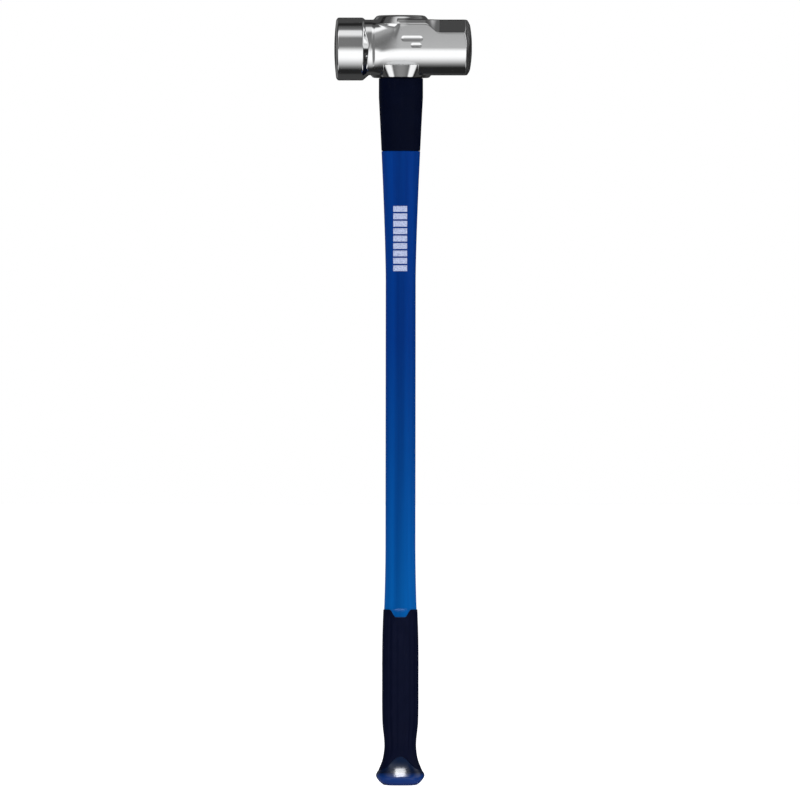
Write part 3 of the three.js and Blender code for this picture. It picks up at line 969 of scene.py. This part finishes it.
NOTCH_DEPTH = 9.0
NOTCH_HALF, NOTCH_TOP_HALF = 5.5, 13.5
ARCH_RISE = 16.5
ARCH_SPAN = 25.0
ARCH_SPRING_Z = 18.0
RIBS = 16
RIB_STEPS = 16
RIB_DEPTH = 0.9
GRIP_LIP = 0.7
GRIP_THICKNESS = 1.3


def arch_heights(share):
    """Height of the grip's lower edge at points whose X is this share of the outline's half width."""
    low, high = np.full(len(share), 17.0), np.full(len(share), 35.0)
    for _ in range(40):
        middle = (low + high) / 2
        x = np.minimum(np.abs(share * smooth_line(GRIP_LINE, middle)), ARCH_SPAN)
        above = ARCH_SPRING_Z + ARCH_RISE * np.cos(np.pi * x / (2 * ARCH_SPAN)) ** 2 > middle
        low, high = np.where(above, middle, low), np.where(above, high, middle)
    return middle


def grip_ring(unit, z, inset):
    """Grip surface at heights z, one for each column, sunk by inset."""
    half_x = smooth_line(GRIP_LINE, z) - inset
    half_y = smooth_line(GRIP_DEPTHS, z) - inset
    return np.stack([unit[:, 0] * half_x, unit[:, 1] * half_y, z], axis=1)


def make_grip():
    """Rubber grip with lengthwise ribs, a square notch at the top and an arch at the bottom."""
    angles = even_angles(RIBS * RIB_STEPS)
    unit = oval_ring(angles, 1.0, 1.0, 0.0)
    across = np.abs(unit[:, 0] * GRIP_LINE[-1][0])
    notch = NOTCH_DEPTH * (1.0 - smooth_step(NOTCH_HALF, NOTCH_TOP_HALF, across))
    top = GRIP_HIGH[2] - notch
    bottom = arch_heights(unit[:, 0])
    lip = GRIP_LIP
    rib = (0.5 - 0.5 * np.cos(angles * RIBS)) ** 1.5
    rings = []
    for turn in np.linspace(math.pi / 2, 0, 5):
        rings.append(grip_ring(unit, bottom + lip * (1 - math.sin(turn)), lip * (1 - math.cos(turn))))
    for share in np.linspace(0, 1, 130)[1:-1]:
        z = bottom + lip + (top - bottom - 2 * lip) * share
        fade = smooth_step(3.0, 18.0, z - bottom) * smooth_step(3.0, 14.0, top - z)
        rings.append(grip_ring(unit, z, RIB_DEPTH * rib * fade))
    for turn in np.linspace(0, math.pi / 2, 5):
        rings.append(grip_ring(unit, top - lip * (1 - math.sin(turn)), lip * (1 - math.cos(turn))))
    for share in np.linspace(1, 0, 40):
        rings.append(grip_ring(unit, bottom + (top - bottom) * share, GRIP_THICKNESS))
    rubber = dark_rubber("grip_rubber", (0.0006, 0.0018, 0.0100), (0.0018, 0.0032, 0.0160), 0.045)
    add_tube("ribbed_grip", "grip", rubber, rings)


def make_butt():
    """Flared butt cap: flat land, rounded rim, hollow flare and a socket for the core."""
    rim_top = RIM_LINE[-1][1]
    rings = []
    for z in np.concatenate([np.linspace(0.0, rim_top, 73), np.linspace(18.5, BUTT_HIGH[2], 50)]):
        at = np.array([z])
        half_x = float(smooth_line(RIM_LINE if z <= rim_top else GRIP_LINE, at)[0])
        half_x -= GRIP_PROUD * float(smooth_step(17.0, 24.0, z))
        rings.append(oval_ring(ROUND, half_x, float(smooth_line(CAP_DEPTHS, at)[0]), z))
    inner_low = CORE_LOW[2] - GAP
    rings += [core_ring(z) for z in np.linspace(BUTT_HIGH[2], inner_low, 20)]
    points, faces = skin(rings, closed=False)
    make_piece("flared_butt", "butt_cap", butt_blue(), points, faces)


def make_core():
    """The rod through the handle, with a small chamfer at its top."""
    rings = [core_ring(z, 0.0) for z in np.linspace(CORE_LOW[2], CORE_HIGH[2] - 0.3, 90)]
    rings.append(core_ring(CORE_HIGH[2], -0.3))
    rings.append(core_ring(CORE_HIGH[2] - 0.1, -4.0))
    points, faces = skin(rings, closed=False)
    make_piece("fibreglass_core", "core_rod", glass_fibre(), points, faces)


def make_bond():
    """Cast epoxy round the core in the head's eye, with a shallow hollow on top."""
    low, high = BOND_LOW[2], BOND_HIGH[2]
    heights = np.linspace(low, high - 0.2, 24)
    rings = [eye_ring(z, GAP) for z in heights]
    rings.append(eye_ring(high, GAP + 0.15))
    rings.append(eye_ring(high - 0.5, 1.4))
    rings.append(core_ring(high - 0.9, 1.6))
    rings.append(core_ring(high - 0.6, GAP))
    rings += [core_ring(z) for z in np.linspace(high - 1.5, JACKET_HIGH[2] + GAP, 12)]
    rings += [tongue_ring(z, GAP) for z in np.linspace(JACKET_HIGH[2] + GAP, low, 6)]
    add_tube("epoxy_bond", "eye_bond", amber_epoxy(), rings)


def make_seal():
    """Foam ring between the jacket's tongue and the eye."""
    low, high = SEAL_LOW[2], SEAL_HIGH[2]
    rings = [eye_ring(z, GAP) for z in np.linspace(low, high, 8)]
    rings += [tongue_ring(z, GAP) for z in np.linspace(high, low, 8)]
    add_tube("foam_seal", "eye_seal", grey_foam(), rings)


bpy.context.scene.view_settings.view_transform = "Standard"
make_camera()
make_world()
make_lights()
make_floor()
make_head()
make_jacket()
make_sleeve()
make_grip()
make_butt()
make_core()
make_bond()
make_seal()
make_print()
